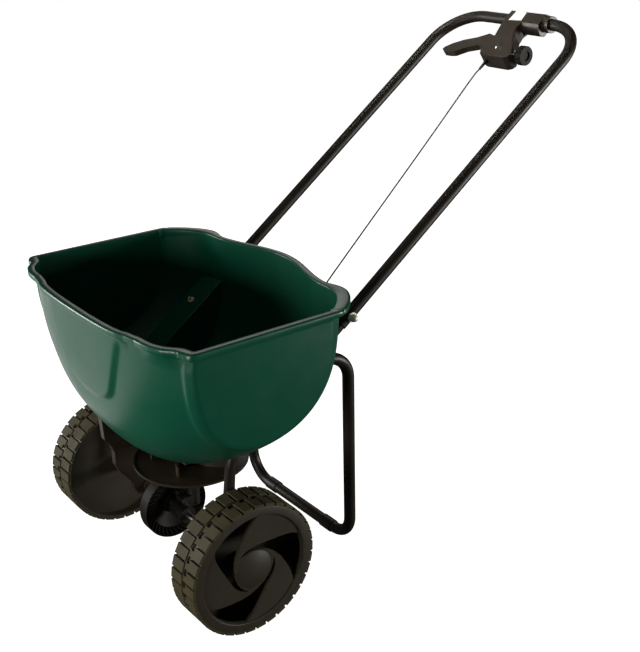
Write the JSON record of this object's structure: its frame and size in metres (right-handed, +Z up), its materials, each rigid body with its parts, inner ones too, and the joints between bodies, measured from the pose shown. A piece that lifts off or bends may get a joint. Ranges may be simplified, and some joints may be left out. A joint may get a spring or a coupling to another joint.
{
  "type": "broadcast spreader",
  "caption": "Push broadcast spreader: open moulded hopper on a bent tube frame, with an axle-driven spinning disc, a wire-worked gate and a long push handle.",
  "frame": {"origin": "on the floor, under the middle of the whole length and width", "axes": "+X along the axle towards the near wheel of the picture, -Y the front, the handle leaning back over +Y, +Z up"},
  "size_m": [0.486, 0.892, 0.8098],
  "materials": {
    "hopper_plastic": "green moulded polyethylene with a soft gloss",
    "screw_brass": "dull plated screw heads",
    "white_plastic": "natural nylon",
    "black_plastic": "black moulded plastic",
    "steel": "zinc plated steel",
    "tube_paint": "black powder coat with a satin gloss",
    "nut_metal": "bright plated domed nut",
    "gear_plastic": "dark moulded nylon",
    "bracket_plastic": "dark moulded plastic with a light front edge",
    "pinion_plastic": "natural nylon",
    "impeller_plastic": "black moulded plastic",
    "wheel_plastic": "black moulded polyethylene, dusty on the tread",
    "cap_plastic": "satin dark plastic",
    "control_plastic": "satin dark plastic, warm in the light",
    "lever_plastic": "satin dark plastic",
    "knob_plastic": "black ribbed plastic",
    "label": "plain white sticker",
    "wire": "bare steel wire"
  },
  "bodies": {
    "chassis": {"hopper": "hopper_plastic", "hopper_screws": "screw_brass", "floor_bushing": "white_plastic", "gate_rail_left": "black_plastic", "gate_rail_right": "black_plastic", "wire_guide": "black_plastic", "frame_tube_left": "tube_paint", "frame_tube_right": "tube_paint", "axle_bushing_left": "black_plastic", "axle_bushing_right": "black_plastic", "stand": "tube_paint", "stand_foot_left": "black_plastic", "stand_foot_right": "black_plastic", "handle": "tube_paint", "joint_bolts": "steel", "joint_nuts": "nut_metal", "gear_housing": "black_plastic", "axle_bracket": "bracket_plastic", "bracket_screws": "steel", "control_housing": "control_plastic", "control_cover": "control_plastic", "control_screws": "steel", "lever_pivot": "nut_metal", "lever_washers": "white_plastic", "label_plate": "label", "wire_ferrule": "black_plastic", "control_wire": "wire"},
    "axle_set": {"axle": "steel", "axle_clips": "steel", "drive_gear": "gear_plastic", "drive_pin": "steel", "wheel_left": "wheel_plastic", "wheel_pin": "steel", "hub_cap_left": "cap_plastic"},
    "free_wheel": {"wheel_right": "wheel_plastic", "hub_cap_right": "cap_plastic", "wheel_washer": "steel"},
    "impeller_set": {"impeller_shaft": "steel", "pinion": "pinion_plastic", "impeller": "impeller_plastic", "impeller_pin": "steel", "agitator": "steel"},
    "squeeze_lever": {"lever": "lever_plastic"},
    "gate": {"gate_plate": "steel", "gate_link": "steel"},
    "knob": {"rate_knob": "knob_plastic", "knob_spindle": "steel"}
  },
  "joints": [
    {"name": "axle_turn", "type": "hinge", "parent": "chassis", "child": "axle_set", "pos_m": [0, -0.30398, 0.105], "axis": [1, 0, 0], "continuous": true},
    {"name": "free_wheel_turn", "type": "hinge", "parent": "chassis", "child": "free_wheel", "pos_m": [0.2, -0.30398, 0.105], "axis": [1, 0, 0], "continuous": true},
    {"name": "impeller_turn", "type": "hinge", "parent": "chassis", "child": "impeller_set", "pos_m": [0.0155, -0.27798, 0.15], "axis": [0, 0, 1], "continuous": true},
    {"name": "lever_squeeze", "type": "hinge", "parent": "chassis", "child": "squeeze_lever", "pos_m": [0.02, 0.3696, 0.74804], "axis": [0, 0.5948, -0.8039], "range_deg": [0, 24]},
    {"name": "gate_slide", "type": "slide", "parent": "chassis", "child": "gate", "axis": [0, 1, 0], "range_m": [0, 0.00732]},
    {"name": "knob_turn", "type": "hinge", "parent": "chassis", "child": "knob", "pos_m": [0.07, 0.3696, 0.74804], "axis": [1, 0, 0], "range_deg": [0, 300]}
  ],
  "couplings": [
    {"joint": "impeller_turn", "follows": "axle_turn", "ratio": 3},
    {"joint": "gate_slide", "follows": "lever_squeeze", "m_per_rad": 0.017478}
  ]
}
